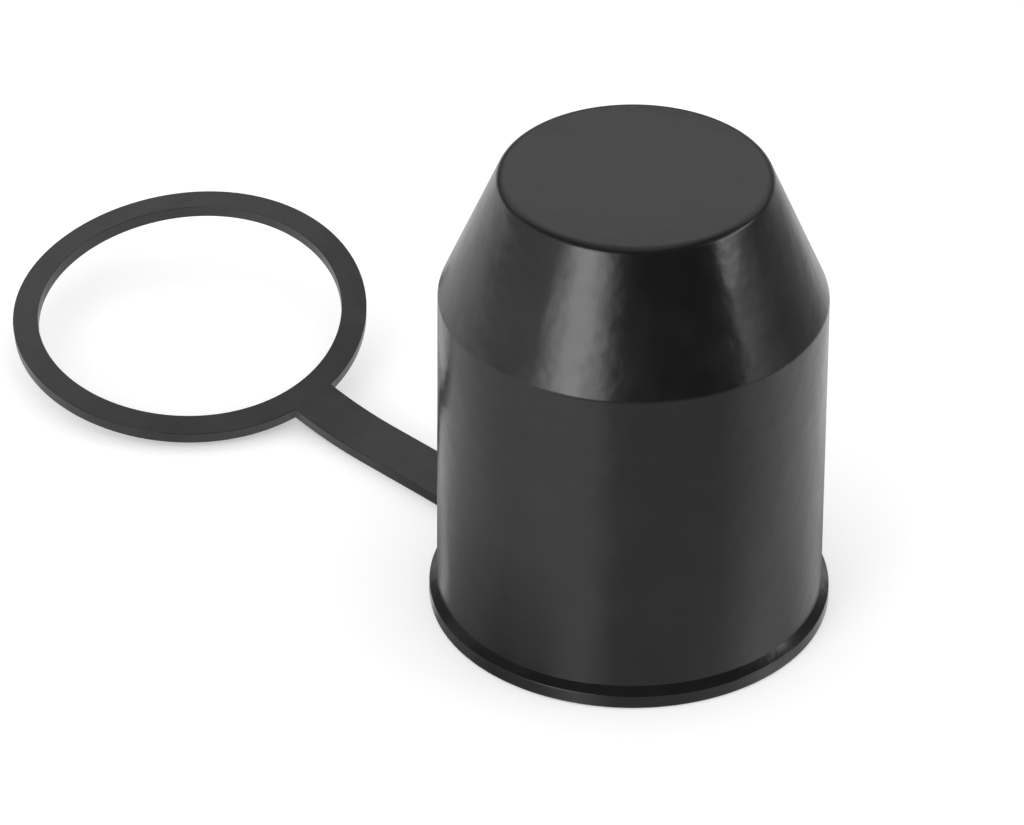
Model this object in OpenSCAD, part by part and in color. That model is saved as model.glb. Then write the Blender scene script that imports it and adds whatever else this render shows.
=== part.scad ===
// Tow ball cover: a soft moulded cap with a lip round its mouth, and a flat strap that grows out
// of the lip and ends in a retaining ring. All of it is one moulding. The mouth lies on the
// plane z = 0 with its centre at the origin, and the strap leaves towards -X.

/* [Cap outside] */
// Height of the cap
height = 70; // [66:0.5:78]
// Wall of the body at its foot, around the bore
wall_t = 2.4; // [2.25:0.05:5]
// Thickness of the lip at its edge
lip_t = 2.1; // [2:0.1:4]
// Distance that the lip stands out past the foot of the body
lip_proud = 1.1; // [0.6:0.05:2.5]
// Rise of the lip's upper face from its edge to the body
lip_rise = 1.1; // [0.6:0.05:2]
// Radius in the corner between the lip and the body
lip_corner_r = 0.3; // [0.1:0.05:0.6]
// Radius on the lower edge of the lip
lip_edge_r = 0.4; // [0.2:0.1:0.8]
// Radius that the body loses between its foot and the shoulder
body_draft = 0.2; // [0.1:0.05:0.8]
// Height of the shoulder, where the cone starts
shoulder_z = 50.5; // [46:0.5:54]
// Radius on the edge of the shoulder
shoulder_edge_r = 1.5; // [0.5:0.1:4]
// Diameter of the flat top, to the corner that its rounded edge takes off
top_d = 37.8; // [32:0.2:44]
// Radius on the edge of the flat top
top_edge_r = 1; // [0.4:0.1:2]

/* [Cap inside] */
// Diameter of the tow ball, which the bore grips
ball_d = 50; // [48:0.5:51]
// Wall of the cone and of the flat top
roof_t = 2.4; // [1.6:0.1:3.2]
// Radius of the corner between the inner cone and the ceiling
ceiling_r = 2; // [1:0.25:4]
// Size of the chamfer that leads the ball into the mouth
mouth_chamfer = 0.8; // [0.4:0.1:1.4]

/* [Strap] */
// Width of the strap
strap_w = 7.4; // [5:0.2:12]
// Thickness of the strap, a little less than the ring's
strap_t = 1.8; // [1.2:0.1:1.8]
// Length of the root, in which the strap lifts and turns out of the plane of the lip
root_len = 8; // [6:0.5:12]
// Height of the middle of the strap above the mouth where the root ends
root_rise = 1.5; // [1.2:0.1:4]
// Turn of the strap about its own length where the root ends
strap_turn = 8.3; // [0:0.5:9]
// Sideways lean of the strap from the radius that it leaves on
strap_lean = 2; // [0:0.5:6]
// Length of the straight run after the root
flat_len = 14; // [6:1:30]
// Length of the run that curls upwards to the ring
curl_len = 13; // [6:1:20]
// Radius of that curl, along the middle of the strap
curl_r = 61.5; // [50:0.5:120]

/* [Ring] */
// Diameter inside the ring, which goes round the neck under the ball
ring_hole_d = 45.5; // [38:0.5:50]
// Width of the ring's band
ring_band_w = 3.75; // [2.5:0.25:6]
// Thickness of the ring
ring_t = 1.9; // [1.9:0.1:2.6]
// Radius of the arch that the ring lies in, along its middle
ring_arch_r = 246; // [180:2:400]

/* [Hidden] */
$fn = 96;

// Outline of the cap, as radius and height
bore_r = ball_d / 2;
foot_r = bore_r + wall_t;
lip_r = foot_r + lip_proud;
shoulder_r = foot_r - body_draft;
top_r = top_d / 2;
lip_foot = [lip_r, 0];
lip_top = [lip_r, lip_t];
foot = [foot_r, lip_t + lip_rise];
shoulder = [shoulder_r, shoulder_z];
top_corner = [top_r, height];

// Inside of the cap, whose cone keeps the wall of the roof
cone_dir = unit(top_corner - shoulder);
cone_out = [cone_dir.y, -cone_dir.x];
inner_start = shoulder - cone_out * roof_t;
inner_shoulder = inner_start + cone_dir * ((bore_r - inner_start.x) / cone_dir.x);
ceiling_z = height - roof_t;
ceiling_corner = inner_start + cone_dir * ((ceiling_z - inner_start.y) / cone_dir.y);

// Strap and ring. The strap starts inside the lip and ends inside the band of the ring.
root_steps = 5;
root_inset = 1.5;
curl_steps = 6;
curl_angle = curl_len / curl_r * 180 / PI;
tip_inset = ring_band_w / 2;
ring_r = ring_hole_d / 2 + ring_band_w;
ring_half_angle = asin(ring_r / ring_arch_r);
cut_over = 1;

function unit(v) = v / norm(v);
function blend(a, b, s) = a + (b - a) * s;
// Rises from 0 to 1 with a level start and a level end
function ease(s) = s <= 0 ? 0 : s * s * (3 - 2 * s);
// Half of the angle at corner b of the path a, b, c
function half_corner(a, b, c) = acos(unit(a - b) * unit(c - b)) / 2;
function round_start(a, b, c, r) = b + unit(a - b) * (r / tan(half_corner(a, b, c)));
function round_centre(a, b, c, r) =
    b + unit(unit(a - b) + unit(c - b)) * (r / sin(half_corner(a, b, c)));

// The corner b of the path a, b, c cut off where its rounding starts and ends
function cut_corner(a, b, c, r) = [round_start(a, b, c, r), round_start(c, b, a, r)];

module round_corner(a, b, c, r) translate(round_centre(a, b, c, r)) circle(r);

// Half section of the cap as if it were solid
module cap_outline() {
    difference() {
        union() {
            polygon(concat(
                [[0, 0]],
                cut_corner([0, 0], lip_foot, lip_top, lip_edge_r),
                [lip_top],
                cut_corner(lip_top, foot, shoulder, lip_corner_r),
                cut_corner(foot, shoulder, top_corner, shoulder_edge_r),
                cut_corner(shoulder, top_corner, [0, height], top_edge_r),
                [[0, height]]
            ));
            round_corner([0, 0], lip_foot, lip_top, lip_edge_r);
            round_corner(foot, shoulder, top_corner, shoulder_edge_r);
            round_corner(shoulder, top_corner, [0, height], top_edge_r);
        }
        round_corner(lip_top, foot, shoulder, lip_corner_r);
    }
}

// Half section of the hollow inside, which runs out through the mouth
module cavity_outline() {
    polygon(concat(
        [[0, -cut_over], [bore_r + mouth_chamfer + cut_over, -cut_over], [bore_r, mouth_chamfer]],
        [inner_shoulder],
        cut_corner(inner_shoulder, ceiling_corner, [0, ceiling_z], ceiling_r),
        [[0, ceiling_z]]
    ));
    round_corner(inner_shoulder, ceiling_corner, [0, ceiling_z], ceiling_r);
}

module cap() {
    rotate_extrude() difference() {
        cap_outline();
        cavity_outline();
    }
}

// Corners of a cross-section of the strap: its place along X, the rise and the turn that the root
// has given it there, and its lift and slope in the plane turned like that
function section(x, rise, turn, lift, slope) = [
    for (corner = [[-1, -1], [1, -1], [1, 1], [-1, 1]])
        let (y = corner.x * strap_w / 2, n = corner.y * strap_t / 2, h = lift + n * cos(slope))
            [x - n * sin(slope), y * cos(turn) + h * sin(turn), rise - y * sin(turn) + h * cos(turn)]
];

// The root grows out of the middle of the lip's edge and lifts and turns as it goes
function root_section(s) =
    section(s * root_len, blend(lip_t / 2, root_rise, ease(s)), strap_turn * ease(s), 0, 0);

// From the end of the straight run: up the curl by an angle, then straight on
function curl_section(angle, on) = section(
    root_len + flat_len + curl_r * sin(angle) + on * cos(angle), root_rise, strap_turn,
    curl_r * (1 - cos(angle)) + on * sin(angle), angle
);

module strap() {
    sections = concat(
        [root_section(-root_inset / root_len)],
        [for (i = [0:root_steps]) root_section(i / root_steps)],
        [for (i = [0:curl_steps]) curl_section(curl_angle * i / curl_steps, 0)],
        [curl_section(curl_angle, tip_inset)]
    );
    last = len(sections) - 1;
    polyhedron(
        points = [for (s = sections) each s],
        faces = concat(
            [[0, 1, 2, 3]],
            [for (i = [0:last - 1], k = [0:3])
                let (n = (k + 1) % 4) each [
                    [4 * i + k, 4 * i + 4 + k, 4 * i + 4 + n],
                    [4 * i + k, 4 * i + 4 + n, 4 * i + n]
                ]],
            [[4 * last + 3, 4 * last + 2, 4 * last + 1, 4 * last]]
        )
    );
}

// A plate whose crest is at the origin and that falls away along -X and +X
module arched_plate(r, half_angle, t, w)
    translate([0, 0, -r]) rotate([90, 0, 0]) rotate([0, 0, 90 - half_angle])
        rotate_extrude(angle = 2 * half_angle) translate([r, 0]) square([t, w], center = true);

// Ring with its centre at the origin
module ring() {
    difference() {
        intersection() {
            arched_plate(ring_arch_r, 1.5 * ring_half_angle, ring_t, 3 * ring_r);
            cylinder(h = ring_r, r = ring_r, center = true);
        }
        cylinder(h = ring_r, d = ring_hole_d, center = true);
    }
}

// From the end of the root along the strap to the centre of the ring
module at_ring()
    translate([root_len, 0, root_rise]) rotate([-strap_turn, 0, 0])
        translate([flat_len + curl_r * sin(curl_angle), 0, curl_r * (1 - cos(curl_angle))])
            rotate([0, -curl_angle, 0])
                translate([ring_r, 0, -ring_arch_r * (1 - cos(ring_half_angle))])
                    rotate([0, ring_half_angle, 0])
                        children();

module cover() color("#2c2c2e") {
    cap();
    translate([-lip_r, 0, 0]) rotate([0, 0, 180 - strap_lean]) {
        strap();
        at_ring() ring();
    }
}

cover();
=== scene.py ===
from math import asin, atan2, cos, hypot, pi, radians, sin, sqrt, tan

import bmesh
import bpy
from mathutils import Matrix, Vector


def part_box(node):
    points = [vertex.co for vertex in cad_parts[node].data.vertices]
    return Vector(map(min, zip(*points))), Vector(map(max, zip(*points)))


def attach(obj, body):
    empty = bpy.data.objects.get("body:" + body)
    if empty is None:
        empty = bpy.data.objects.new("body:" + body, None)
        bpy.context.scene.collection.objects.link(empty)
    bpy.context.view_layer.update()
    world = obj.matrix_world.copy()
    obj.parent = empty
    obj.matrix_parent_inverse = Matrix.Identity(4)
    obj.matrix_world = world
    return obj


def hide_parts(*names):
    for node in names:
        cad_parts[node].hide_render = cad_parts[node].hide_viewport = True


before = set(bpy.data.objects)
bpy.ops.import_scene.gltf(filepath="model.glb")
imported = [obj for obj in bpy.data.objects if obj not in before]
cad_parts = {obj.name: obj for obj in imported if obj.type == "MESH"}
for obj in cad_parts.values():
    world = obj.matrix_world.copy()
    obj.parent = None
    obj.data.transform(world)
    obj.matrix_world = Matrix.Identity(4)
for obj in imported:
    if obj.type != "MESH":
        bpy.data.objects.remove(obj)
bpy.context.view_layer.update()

mm = 0.001
mergeDistance = 0.001 * mm
scene = bpy.context.scene
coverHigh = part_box("cover")[1]  # the cap's axis is Z, and its mouth lies on z = 0


# Camera, at the photograph's angle
camera = {
    "azimuth": 42.44,  # degrees round from the front
    "elevation": 34.12,
    "roll": 0.23,
    "distance": 913.44 * mm,
    "aim": (-10.99 * mm, -12.857 * mm, 31.943 * mm),
    "lens": 229.526,
    "sensor": 36,
    "clip": (0.01, 20),  # m
}


def addCamera(p):
    print("camera")
    turn = (
        Matrix.Rotation(radians(p["azimuth"]), 4, "Z")
        @ Matrix.Rotation(radians(90 - p["elevation"]), 4, "X")
        @ Matrix.Rotation(radians(p["roll"]), 4, "Z")
    )
    bpy.ops.object.camera_add()
    cam = bpy.context.object
    cam.name = "photoCamera"
    cam.matrix_world = Matrix.Translation(p["aim"]) @ turn @ Matrix.Translation((0, 0, p["distance"]))
    cam.data.lens = p["lens"]
    cam.data.sensor_width = p["sensor"]
    cam.data.clip_start, cam.data.clip_end = p["clip"]
    scene.camera = cam


# Cap: the half section is drawn as a line of points and spun round the axis
cap = {
    "height": coverHigh.z / mm,
    "lipRadius": coverHigh.y / mm,
    "lipThickness": 2.1,
    "lipProud": 1.1,  # how far the lip stands out past the foot of the body
    "lipRise": 1.1,  # of its upper face, from the edge to the body
    "lipCorner": 0.06,  # radius between the lip and the body
    "bodyDraft": 0.2,  # radius lost between the foot and the shoulder
    "shoulderHeight": 50.5,
    "shoulderRounding": 1.5,
    "topRadius": 18.9,
    "topRounding": 1.3,
    "boreRadius": 25,
    "roofWall": 2.4,
    "innerRounding": 1.0,  # where the bore meets the inner cone
    "ceilingRounding": 2,
    "mouthChamfer": 0.8,
    "steps": 144,  # round the axis
    "strapSteps": 3,  # of those, on each side of the strap's middle
    "lipTolerance": 0.1,  # mm: the lip's edge is made of short chords
    "arcSteps": 6,  # in each rounding of the half section
    "smallArcSteps": 4,
}


def deselectAll():
    if bpy.context.mode != "OBJECT":
        bpy.ops.object.mode_set(mode="OBJECT")
    bpy.ops.object.select_all(action="DESELECT")


def nameOf(obj, name):
    obj.name = name
    obj.data.name = name
    return obj


# Points of an arc about a centre, from one angle to another, both ends included
def arcPoints(centre, radius, start, end, steps):
    turns = [start + (end - start) * i / steps for i in range(steps + 1)]
    return [(centre[0] + radius * cos(a), centre[1] + radius * sin(a)) for a in turns]


# The corner b of the path a, b, c as a round of a radius
def roundedCorner(a, b, c, radius, steps):
    a, b, c = Vector(a), Vector(b), Vector(c)
    back, on = (a - b).normalized(), (c - b).normalized()
    half = back.angle(on) / 2
    centre = b + (back + on).normalized() * (radius / sin(half))
    first = b + back * (radius / tan(half)) - centre
    last = b + on * (radius / tan(half)) - centre
    start = atan2(first.y, first.x)
    sweep = atan2(first.x * last.y - first.y * last.x, first.dot(last))
    return arcPoints(centre, radius, start, start + sweep, steps)


# Half section of the cap from the middle of the top, down outside and up inside
def capSection(p):
    foot = Vector((p["lipRadius"] - p["lipProud"], p["lipThickness"] + p["lipRise"]))
    shoulder = Vector((foot.x - p["bodyDraft"], p["shoulderHeight"]))
    topCorner = Vector((p["topRadius"], p["height"]))
    lipTop = Vector((p["lipRadius"], p["lipThickness"]))

    # the cone keeps its wall inside
    coneDir = (topCorner - shoulder).normalized()
    coneOut = Vector((coneDir.y, -coneDir.x))
    inner = shoulder - coneOut * p["roofWall"]
    innerShoulder = inner + coneDir * ((p["boreRadius"] - inner.x) / coneDir.x)
    ceiling = p["height"] - p["roofWall"]
    innerTop = inner + coneDir * ((ceiling - inner.y) / coneDir.y)

    mouth = (p["boreRadius"] + p["mouthChamfer"], 0)
    boreFoot = (p["boreRadius"], p["mouthChamfer"])
    path = [(0, p["height"]), (p["topRadius"] / 2, p["height"])]
    path += roundedCorner((0, p["height"]), topCorner, shoulder, p["topRounding"], p["arcSteps"])
    path += roundedCorner(topCorner, shoulder, foot, p["shoulderRounding"], p["arcSteps"])
    path += roundedCorner(shoulder, foot, lipTop, p["lipCorner"], p["smallArcSteps"])
    windowTop = (p["lipRadius"], strap["thickness"])  # where the strap is joined on
    path += [tuple(lipTop), windowTop, (p["lipRadius"], 0), mouth, boreFoot]
    path += roundedCorner(boreFoot, innerShoulder, innerTop, p["innerRounding"], p["smallArcSteps"])
    path += roundedCorner(innerShoulder, innerTop, (0, ceiling), p["ceilingRounding"], p["arcSteps"])
    path += [(0, ceiling)]
    return path


def buildCap(p):
    print("cap")
    path = [Vector((x * mm, 0, z * mm)) for x, z in capSection(p)]
    deselectAll()
    bpy.ops.mesh.primitive_plane_add(size=mm, location=path[0])
    obj = nameOf(bpy.context.object, "coverMesh")
    bpy.ops.object.transform_apply(location=True, rotation=True, scale=True)
    bpy.ops.object.mode_set(mode="EDIT")
    bpy.ops.mesh.select_mode(type="VERT")
    bpy.ops.mesh.select_all(action="SELECT")
    bpy.ops.mesh.merge(type="CENTER")
    for here, there in zip(path, path[1:]):  # the section is drawn point by point
        bpy.ops.mesh.extrude_region_move(TRANSFORM_OT_translate={"value": there - here})
    bpy.ops.mesh.select_all(action="SELECT")
    bpy.ops.mesh.spin(steps=p["steps"], angle=2 * pi, center=(0, 0, 0), axis=(0, 0, 1))
    bpy.ops.mesh.select_all(action="SELECT")
    bpy.ops.mesh.remove_doubles(threshold=mergeDistance)
    bpy.ops.mesh.normals_make_consistent(inside=False)
    bpy.ops.object.mode_set(mode="OBJECT")
    return obj


# Selects the faces of the object in edit mode for which the test of a face's middle holds
def selectFaces(obj, test):
    mesh = bmesh.from_edit_mesh(obj.data)
    bpy.ops.mesh.select_all(action="DESELECT")
    for face in mesh.faces:
        face.select_set(test(face.calc_center_median(), face.normal))
    mesh.select_flush_mode()
    bmesh.update_edit_mesh(obj.data)


def isUpright(normal):
    return abs(normal.z) < 0.5


def selectEdges(obj, test):
    mesh = bmesh.from_edit_mesh(obj.data)
    bpy.ops.mesh.select_all(action="DESELECT")
    for edge in mesh.edges:
        edge.select_set(test(edge))
    bmesh.update_edit_mesh(obj.data)


# Strap and ring: moulded flat, then laid along the line that the strap takes
strap = {
    "thickness": 1.8,
    "rootLength": 8,
    "rootRise": 1.5,  # height of its middle where the root ends
    "turn": 8.3,  # degrees about its own length
    "lean": 2,  # degrees sideways
    "flatLength": 14,
    "curlLength": 13,
    "curlRadius": 61.5,
    "archRadius": 246,  # of the ring's arch
    "pieces": 34,  # along the strap
    "lineSteps": {"root": 16, "flat": 14, "curl": 26, "arch": 60},
}
ring = {
    "holeRadius": 22.75,
    "bandWidth": 3.75,
    "thickness": 1.9,
    "steps": 135,  # round the ring
    "strapSteps": 3,  # of those, on each side of the strap's middle, for a strap of 7.4 mm
}


# The ring is spun flat, and the strap is pulled out of its near side; X runs along the strap
def buildStrapAndRing(s, r):
    print("strap and ring")
    length = (s["rootLength"] + s["flatLength"] + s["curlLength"]) * mm
    outer = (r["holeRadius"] + r["bandWidth"]) * mm
    middle = outer - r["bandWidth"] * mm / 2
    reach = s["archRadius"] * mm * asin(outer / (s["archRadius"] * mm))  # along the arch
    centre = Vector((length + reach, 0, 0))

    deselectAll()
    nearSide = centre - Vector((middle, 0, 0))
    bpy.ops.mesh.primitive_plane_add(size=1, rotation=(pi / 2, 0, 0), location=nearSide)
    obj = nameOf(bpy.context.object, "strapAndRing")
    bpy.ops.transform.resize(value=(r["bandWidth"] * mm, 1, r["thickness"] * mm))
    bpy.ops.object.transform_apply(location=True, rotation=True, scale=True)
    bpy.ops.object.mode_set(mode="EDIT")
    bpy.ops.mesh.select_mode(type="VERT")
    bpy.ops.mesh.select_all(action="SELECT")
    bpy.ops.mesh.delete(type="ONLY_FACE")
    bpy.ops.mesh.select_all(action="SELECT")
    bpy.ops.mesh.spin(steps=r["steps"], angle=2 * pi, center=centre, axis=(0, 0, 1))
    bpy.ops.mesh.select_all(action="SELECT")
    bpy.ops.mesh.remove_doubles(threshold=mergeDistance)
    bpy.ops.mesh.normals_make_consistent(inside=False)
    bpy.ops.transform.resize(value=(reach / outer, 1, 1), center_override=centre)

    bpy.ops.mesh.select_mode(type="FACE")
    nearAngle = 2 * pi * r["strapSteps"] / r["steps"]

    def onNearSide(place, normal):
        away = place - centre
        outside = hypot(away.x, away.y) > middle
        return isUpright(normal) and outside and atan2(abs(away.y), -away.x) < nearAngle

    selectFaces(obj, onNearSide)
    step = length / s["pieces"]
    place = length - step
    bpy.ops.mesh.extrude_region_move(TRANSFORM_OT_translate={"value": (-step, 0, 0)})
    thinner = s["thickness"] / r["thickness"]
    bpy.ops.transform.resize(value=(0, 1, thinner), center_override=(place, 0, 0))
    for _ in range(s["pieces"] - 2):
        bpy.ops.mesh.extrude_region_move(TRANSFORM_OT_translate={"value": (-step, 0, 0)})
    bpy.ops.mesh.delete(type="FACE")
    bpy.ops.object.mode_set(mode="OBJECT")
    return obj


# A point and a tilt for each step along the middle of the strap and on over the ring
def strapLine(s, r):
    turn = radians(s["turn"])
    curl = s["curlLength"] / s["curlRadius"]
    outer = r["holeRadius"] + r["bandWidth"]
    arch = 2 * asin(outer / s["archRadius"])
    points = []

    def add(x, rise, lift, slope, turned):
        tilt = asin(sin(turned) / sqrt(1 - (sin(slope) * cos(turned)) ** 2))
        points.append((Vector((x, lift * sin(turned), rise + lift * cos(turned))) * mm, -tilt))

    steps = s["lineSteps"]
    startRise = s["thickness"] / 2
    for i in range(steps["root"]):
        t = i / steps["root"]
        ease = t * t * (3 - 2 * t)
        add(t * s["rootLength"], startRise + (s["rootRise"] - startRise) * ease, 0, 0, turn * ease)
    for i in range(steps["flat"]):
        add(s["rootLength"] + s["flatLength"] * i / steps["flat"], s["rootRise"], 0, 0, turn)
    curlStart = s["rootLength"] + s["flatLength"]
    for i in range(steps["curl"]):
        a = curl * i / steps["curl"]
        add(curlStart + s["curlRadius"] * sin(a), s["rootRise"], s["curlRadius"] * (1 - cos(a)), a, turn)
    archStart = curlStart + s["curlRadius"] * sin(curl)
    archLift = s["curlRadius"] * (1 - cos(curl))
    for i in range(steps["arch"] + 1):
        a = curl - arch * i / steps["arch"]
        x = archStart + s["archRadius"] * (sin(curl) - sin(a))
        add(x, s["rootRise"], archLift + s["archRadius"] * (cos(a) - cos(curl)), a, turn)
    return points


def layAlongLine(obj, s, r):
    print("laying them along the strap's line")
    points = strapLine(s, r)
    curve = bpy.data.curves.new("strapLine", "CURVE")
    curve.dimensions = "3D"
    curve.twist_mode = "Z_UP"
    spline = curve.splines.new("POLY")
    spline.points.add(len(points) - 1)
    for point, (place, tilt) in zip(spline.points, points):
        point.co = (*place, 1)
        point.tilt = tilt
    guide = bpy.data.objects.new("strapLine", curve)
    scene.collection.objects.link(guide)

    deselectAll()
    obj.select_set(True)
    bpy.context.view_layer.objects.active = obj
    bend = obj.modifiers.new("layAlongLine", "CURVE")
    bend.object = guide
    bend.deform_axis = "POS_X"
    bpy.ops.object.modifier_apply(modifier=bend.name)
    bpy.data.objects.remove(guide)
    lean = Matrix.Rotation(radians(180 - s["lean"]), 4, "Z")
    obj.matrix_world = Matrix.Translation((-cap["lipRadius"] * mm, 0, 0)) @ lean
    bpy.ops.object.transform_apply(location=True, rotation=True, scale=True)


# The strap's open end is joined to a window in the edge of the lip
def joinToLip(body, strapMesh, p, s):
    print("joining the strap to the lip")
    deselectAll()
    strapMesh.select_set(True)
    body.select_set(True)
    bpy.context.view_layer.objects.active = body
    bpy.ops.object.join()
    bpy.ops.object.mode_set(mode="EDIT")
    bpy.ops.mesh.select_mode(type="FACE")
    halfAngle = 2 * pi * p["strapSteps"] / p["steps"]

    def underStrap(place, normal):
        onEdge = abs(hypot(place.x, place.y) / mm - p["lipRadius"]) < p["lipTolerance"]
        low = place.z < s["thickness"] * mm
        return isUpright(normal) and onEdge and low and atan2(abs(place.y), -place.x) < halfAngle

    selectFaces(body, underStrap)
    bpy.ops.mesh.delete(type="FACE")
    bpy.ops.mesh.select_mode(type="EDGE")
    selectEdges(body, lambda edge: edge.is_boundary)
    bpy.ops.mesh.bridge_edge_loops()
    bpy.ops.mesh.select_all(action="SELECT")
    bpy.ops.mesh.normals_make_consistent(inside=False)
    bpy.ops.object.mode_set(mode="OBJECT")


edges = {
    "lipFoot": 0.4,  # mm
    "lipTop": 0.1,
    "strap": 0.1,
    "mouth": 0.15,
    "segments": 3,
    "sharpFrom": 35,  # degrees between two faces
}


# Rounds the outward edges, the widest at the foot of the lip
def roundEdges(obj, p, e):
    print("rounding the edges")
    deselectAll()
    obj.select_set(True)
    bpy.context.view_layer.objects.active = obj
    widest = max(e["lipFoot"], e["lipTop"], e["strap"], e["mouth"])
    halfway = p["lipThickness"] * mm / 2

    def sharp(edge):
        return edge.is_manifold and edge.is_convex and edge.calc_face_angle() > radians(e["sharpFrom"])

    def pastLip(edge):
        middle = (edge.verts[0].co + edge.verts[1].co) / 2
        return hypot(middle.x, middle.y) / mm - p["lipRadius"]

    def onLip(edge):
        return sharp(edge) and abs(pastLip(edge)) < p["lipTolerance"]

    def onLipFoot(edge):
        return onLip(edge) and edge.verts[0].co.z < halfway

    def onLipTop(edge):
        return onLip(edge) and edge.verts[0].co.z > halfway

    def onStrap(edge):
        return sharp(edge) and pastLip(edge) > p["lipTolerance"]

    def onMouth(edge):
        return sharp(edge) and pastLip(edge) < -p["lipTolerance"]

    bpy.ops.object.mode_set(mode="EDIT")
    bpy.ops.mesh.select_mode(type="EDGE")
    groups = (onLipFoot, "lipFoot"), (onLipTop, "lipTop"), (onStrap, "strap"), (onMouth, "mouth")
    for test, name in groups:
        selectEdges(obj, test)
        bpy.ops.transform.edge_bevelweight(value=e[name] / widest)
    bpy.ops.object.mode_set(mode="OBJECT")
    bevel = obj.modifiers.new("roundings", "BEVEL")
    bevel.limit_method = "WEIGHT"
    bevel.width = widest * mm
    bevel.segments = e["segments"]
    bevel.harden_normals = True
    bpy.ops.object.shade_smooth()
    bpy.ops.object.modifier_apply(modifier=bevel.name)


# Socket maths, written as expressions
class Sock:
    def __init__(self, tree, socket):
        self.tree, self.socket = tree, socket

    def math(self, operation, a, b):
        return addNode(self.tree, "ShaderNodeMath", {"operation": operation}, {0: a, 1: b})

    def __add__(self, other):
        return self.math("ADD", self, other)

    def __radd__(self, other):
        return self.math("ADD", other, self)

    def __sub__(self, other):
        return self.math("SUBTRACT", self, other)

    def __rsub__(self, other):
        return self.math("SUBTRACT", other, self)

    def __mul__(self, other):
        return self.math("MULTIPLY", self, other)

    def __rmul__(self, other):
        return self.math("MULTIPLY", other, self)

    def __truediv__(self, other):
        return self.math("DIVIDE", self, other)

    def __rtruediv__(self, other):
        return self.math("DIVIDE", other, self)


# Adds a node with its settings, then its socket values and links by name or number, and gives one
# output back
def addNode(tree, kind, settings={}, sockets={}, out=0):
    node = tree.nodes.new(kind)
    for key, value in settings.items():
        if key == "stops":
            ramp = node.color_ramp.elements
            while len(ramp) < len(value):
                ramp.new(0.5)
            for element, (at, colour) in zip(ramp, value):
                element.position, element.color = at, colour
        else:
            setattr(node, key, value)
    for key, value in sockets.items():
        if isinstance(value, Sock):
            tree.links.new(value.socket, node.inputs[key])
        else:
            node.inputs[key].default_value = value
    return Sock(tree, node.outputs[out]) if node.outputs else None


def vectorMath(tree, operation, a, b=(0, 0, 0), out="Value"):
    return addNode(tree, "ShaderNodeVectorMath", {"operation": operation}, {0: a, 1: b}, out)


# Goes from 0 to 1 between two values
def rising(tree, value, span, kind="LINEAR"):
    sockets = {"Value": value, "From Min": span[0], "From Max": span[1]}
    return addNode(tree, "ShaderNodeMapRange", {"interpolation_type": kind}, sockets)


def newMaterial(name):
    material = bpy.data.materials.new(name)
    material.use_nodes = True
    tree = material.node_tree
    tree.nodes.clear()
    return material, tree


pvc = {
    "black": (0.0068, 0.0068, 0.007, 1),
    "bloom": (0.022, 0.022, 0.0226, 1),  # the faint pale cloud on soft PVC, and also the colour of the painted reflection on the far side of the ring
    "bloomSize": 7,  # mm
    "bloomDetail": 4.0,
    "bloomFrom": (0.42, 0.68),  # of the noise
    "bloomPart": 0.15,
    "trimBloomPart": 0.45,  # more of it on the strap and the ring
    "bloomRoughness": 0.05,  # added by it
    "roughness": 0.2,
    "trimRoughness": 0.3,  # of the strap and the ring
    "trimFrom": (28.6, 30.0),  # mm from the axis
    "rimRoughness": 0.3,  # of the rubbed edge round the flat top
    "rimFrom": (18.0, 18.5),  # mm from the axis
    "rimUpFrom": (69.15, 69.5),  # mm up
    "paintedFarReflectionPart": 0.4,  # painted reflection: how much of the bloom colour is added on the far side of the ring, standing in for the surroundings it mirrors
    "paintedFarReflectionFrom": (78, 100),  # mm from the axis, where the painted reflection fades in
    "grainSize": 0.9,  # mm
    "grainDetail": 3.0,
    "grainDepth": 0.012,
    "waveSize": 6.0,  # mm
    "waveDetail": 2.0,
    "waveDepth": 0.16,
    "refraction": 1.5,
}


def softPvc(p):
    print("soft PVC")
    material, tree = newMaterial("softBlackPvc")
    place = addNode(tree, "ShaderNodeTexCoord", out="Object")
    level = vectorMath(tree, "MULTIPLY", place, (1, 1, 0), out="Vector")
    away = vectorMath(tree, "LENGTH", level) / mm
    up = addNode(tree, "ShaderNodeSeparateXYZ", {}, {"Vector": place}, out="Z") / mm

    def noise(name):
        scale = 1 / (p[name + "Size"] * mm)
        sockets = {"Vector": place, "Scale": scale, "Detail": p[name + "Detail"]}
        return addNode(tree, "ShaderNodeTexNoise", {}, sockets)

    trim = rising(tree, away, p["trimFrom"])
    # painted reflection: the far side of the ring is made paler in colour, standing in for the
    # surroundings it mirrors
    paintedFarReflection = rising(tree, away, p["paintedFarReflectionFrom"])
    rim = rising(tree, away, p["rimFrom"]) * rising(tree, up, p["rimUpFrom"])
    cloud = rising(tree, noise("bloom"), p["bloomFrom"])

    # mix towards the bloom colour: the bloom's random cloud, plus the painted reflection on the far side
    # of the ring
    bloomAndPaintedReflection = cloud * (p["bloomPart"] + p["trimBloomPart"] * trim) + p["paintedFarReflectionPart"] * paintedFarReflection
    colours = {0: bloomAndPaintedReflection, 6: p["black"], 7: p["bloom"]}
    colour = addNode(tree, "ShaderNodeMix", {"data_type": "RGBA"}, colours, out=2)
    relief = noise("grain") * p["grainDepth"] + noise("wave") * p["waveDepth"]
    bump = addNode(tree, "ShaderNodeBump", {}, {"Height": relief, "Strength": 1.0, "Distance": mm})
    rough = p["roughness"] + trim * (p["trimRoughness"] - p["roughness"]) + cloud * p["bloomRoughness"]
    rough = rough + rim * (p["rimRoughness"] - p["roughness"])
    shader = addNode(tree, "ShaderNodeBsdfPrincipled", {}, {
        "Base Color": colour,
        "Roughness": rough,
        "IOR": p["refraction"],
        "Normal": bump,
    })
    addNode(tree, "ShaderNodeOutputMaterial", {}, {"Surface": shader})
    return material


def setMaterial(obj, material):
    obj.data.materials.clear()
    obj.data.materials.append(material)


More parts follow.
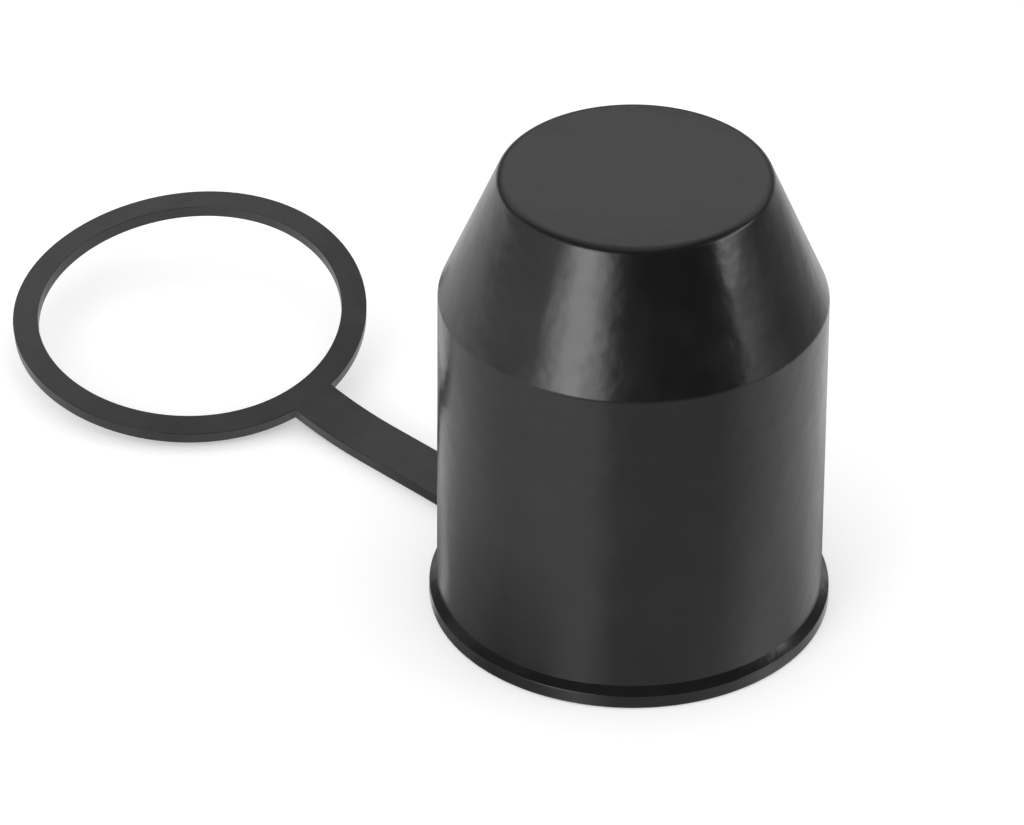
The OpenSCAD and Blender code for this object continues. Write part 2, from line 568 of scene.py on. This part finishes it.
# Studio: white floor and surroundings, a softbox at the front left and a dim room behind the camera
studio = {
    "floorSize": 6,  # m
    "floorDrop": 0.02,  # mm under the rim
    "floorColour": (0.9, 0.9, 0.9, 1),
    "floorLift": 0.3,  # added to the floor where the camera sees it
    "ambient": 0.85,  # light from all round
    # brightness of the low surroundings in reflections, by degrees round from the camera to the right
    "room": [
        (-180, 0.2), (-150, 0.12), (-118, 0.15), (-95, 0.6), (-70, 0.75), (-46, 0.6), (-20, 0.35),
        (0, 0.1), (14, 0.015), (64, 0.015), (66.5, 1.9), (71, 1.25), (79, 0.65), (97, 0.2), (115, 0.12),
        (140, 0.2), (180, 0.2),
    ],
    # the same for the floor near the cap, as its upright wall mirrors it
    "nearFloor": [
        (-180, 0.85), (-165, 0.95), (-145, 0.84), (-119, 0.76), (-102, 0.75), (-80, 0.74), (-58, 0.9),
        (-40, 1.0), (-23, 1.0), (-10, 0.52), (52, 0.45), (72, 0.72), (110, 1.0), (160, 1.0), (180, 0.85),
    ],
    # the same right at its foot
    "footFloor": [
        (-180, 0.2), (-172, 0.3), (-160, 0.95), (-143, 0.3), (-119, 0.32), (-102, 0.32), (-83, 0.2),
        (-55, 0.36), (-30, 1.0), (-10, 0.47), (0, 0.45), (29, 0.5), (54, 0.62), (82, 1.05), (113, 0.58),
        (140, 0.7), (160, 0.7), (180, 0.25),
    ],
    "footFrom": (28, 66),  # mm from the axis, where the near floor takes over
    # and for the floor further away
    "farFloor": [
        (-180, 1.1), (-110, 1.15), (-50, 1.0), (-10, 0.3), (50, 0.3), (60, 0.8), (75, 0.5), (95, 0.28),
        (125, 0.4), (180, 1.1),
    ],
    "farFrom": (120, 260),  # mm from the axis, where that takes over
    "wallRadius": 27.3,  # mm, of the upright wall that mirrors the floor
    # and for the ceiling, from the back at -1 to the front at 1
    "ceiling": [(-1.0, 0.88), (-0.42, 0.88), (-0.2, 0.06), (1.0, 0.02)],
    # and straight up, by the sine of the elevation
    "overhead": [(0.0, 0.0), (0.85, 0.0), (0.93, 0.6), (1.0, 0.6)],
    "ceilingFrom": (0.3, 0.5),  # sine of the elevation where the ceiling takes over
}
softbox = {
    "azimuth": camera["azimuth"] - 35,
    "elevation": 14,
    "distance": 0.6,  # m, as its height and widths
    "height": 0.24,
    "layers": [(0.46, 0.42), (0.32, 0.44), (0.18, 0.28)],  # width and watts: its middle is the brightest
}
sideLight = {
    "azimuth": camera["azimuth"] + 82,
    "elevation": 17.5,
    "distance": 0.7,
    "height": 0.12,
    "layers": [(0.38, 0.7)],
}
lampAim = Vector((0, 0, 40 * mm))
layerGap = 2 * mm  # lamps at the same place hide one another


# Part of a vector that lies along a level direction, which is some degrees to the right of the camera
def partTowards(tree, vector, toRight):
    turn = radians(camera["azimuth"] + toRight)
    return vectorMath(tree, "DOT_PRODUCT", vector, (sin(turn), -cos(turn), 0))


# Angle of a vector round from the camera, in turns: -0.5 and 0.5 at the back and 0.25 at the right
def roundAngle(tree, vector):
    front, right = partTowards(tree, vector, 0), partTowards(tree, vector, 90)
    return right.math("ARCTAN2", right, front) / (2 * pi)


def rayIs(tree, kind):
    return addNode(tree, "ShaderNodeLightPath", out=f"Is {kind} Ray")


def brightness(tree, stops, at):
    greys = [(place, (value, value, value, 1)) for place, value in stops]
    return addNode(tree, "ShaderNodeValToRGB", {"stops": greys}, {"Fac": at})


def byAngle(tree, stops, angle):
    return brightness(tree, [(0.5 + at / 360, value) for at, value in stops], angle + 0.5)


def addFloor(p):
    bpy.ops.mesh.primitive_plane_add(size=p["floorSize"], location=(0, 0, -p["floorDrop"] * mm))
    floor = nameOf(bpy.context.object, "paleFloor")
    bpy.ops.object.transform_apply(location=True, rotation=True, scale=True)
    material, tree = newMaterial("paleFloor")
    lit = addNode(tree, "ShaderNodeBsdfDiffuse", {}, {"Color": p["floorColour"]})
    lift = addNode(tree, "ShaderNodeEmission", {}, {"Strength": rayIs(tree, "Camera") * p["floorLift"]})
    plain = addNode(tree, "ShaderNodeAddShader", {}, {0: lit, 1: lift})
    place = addNode(tree, "ShaderNodeTexCoord", out="Object")
    away = vectorMath(tree, "LENGTH", place) / mm
    # an upright wall turns what it mirrors: a place by its foot is met at twice the angle
    unwrapped = roundAngle(tree, place) * (away / (away - p["wallRadius"] / 2))
    foot, near = byAngle(tree, p["footFloor"], unwrapped), byAngle(tree, p["nearFloor"], unwrapped)
    far = byAngle(tree, p["farFloor"], roundAngle(tree, place))
    off, reach = rising(tree, away, p["footFrom"]), rising(tree, away, p["farFrom"], "SMOOTHSTEP")
    close = foot * (1 - off) + near * off
    mirrored = addNode(tree, "ShaderNodeEmission", {}, {"Strength": close * (1 - reach) + far * reach})
    shader = addNode(tree, "ShaderNodeMixShader", {}, {0: rayIs(tree, "Glossy"), 1: plain, 2: mirrored})
    addNode(tree, "ShaderNodeOutputMaterial", {}, {"Surface": shader})
    setMaterial(floor, material)


def addLamp(name, p):
    azimuth, elevation = radians(p["azimuth"]), radians(p["elevation"])
    away = Vector((sin(azimuth) * cos(elevation), -cos(azimuth) * cos(elevation), sin(elevation)))
    turn = away.to_track_quat("Z", "Y").to_matrix().to_4x4()
    for number, (width, power) in enumerate(p["layers"]):
        place = lampAim + away * (p["distance"] + number * layerGap)
        bpy.ops.object.light_add(type="AREA")
        lamp = nameOf(bpy.context.object, name)
        lamp.data.shape = "RECTANGLE"
        lamp.data.size, lamp.data.size_y = width, p["height"]
        lamp.data.energy = power
        lamp.matrix_world = Matrix.Translation(place) @ turn


def addWorld(p):
    world = bpy.data.worlds.new("whiteStudio")
    scene.world = world
    world.use_nodes = True
    tree = world.node_tree
    tree.nodes.clear()
    seen = rayIs(tree, "Camera") + rayIs(tree, "Transmission")
    glossy = rayIs(tree, "Glossy")
    direction = addNode(tree, "ShaderNodeTexCoord", out="Generated")
    up = addNode(tree, "ShaderNodeSeparateXYZ", {}, {"Vector": direction}, out="Z")
    low = byAngle(tree, p["room"], roundAngle(tree, direction))
    stops = [(0.5 + part / 2, value) for part, value in p["ceiling"]]
    high = brightness(tree, stops, partTowards(tree, direction, 0) / 2 + 0.5)
    high = high.math("MAXIMUM", high, brightness(tree, p["overhead"], up))
    over = rising(tree, up, p["ceilingFrom"], "SMOOTHSTEP")
    room = low * (1 - over) + high * over
    strength = seen + glossy * room + (1 - seen - glossy) * p["ambient"]
    shader = addNode(tree, "ShaderNodeBackground", {}, {"Color": (1, 1, 1, 1), "Strength": strength})
    addNode(tree, "ShaderNodeOutputWorld", {}, {"Surface": shader})


addCamera(camera)
cover = buildCap(cap)
flat = buildStrapAndRing(strap, ring)
layAlongLine(flat, strap, ring)
joinToLip(cover, flat, cap, strap)
roundEdges(cover, cap, edges)
cover.name = "coverMoulding"
setMaterial(cover, softPvc(pvc))
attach(cover, "root")
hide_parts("cover")

print("studio")
addFloor(studio)
addWorld(studio)
addLamp("softbox", softbox)
addLamp("sideLight", sideLight)
scene.view_settings.view_transform = "Standard"
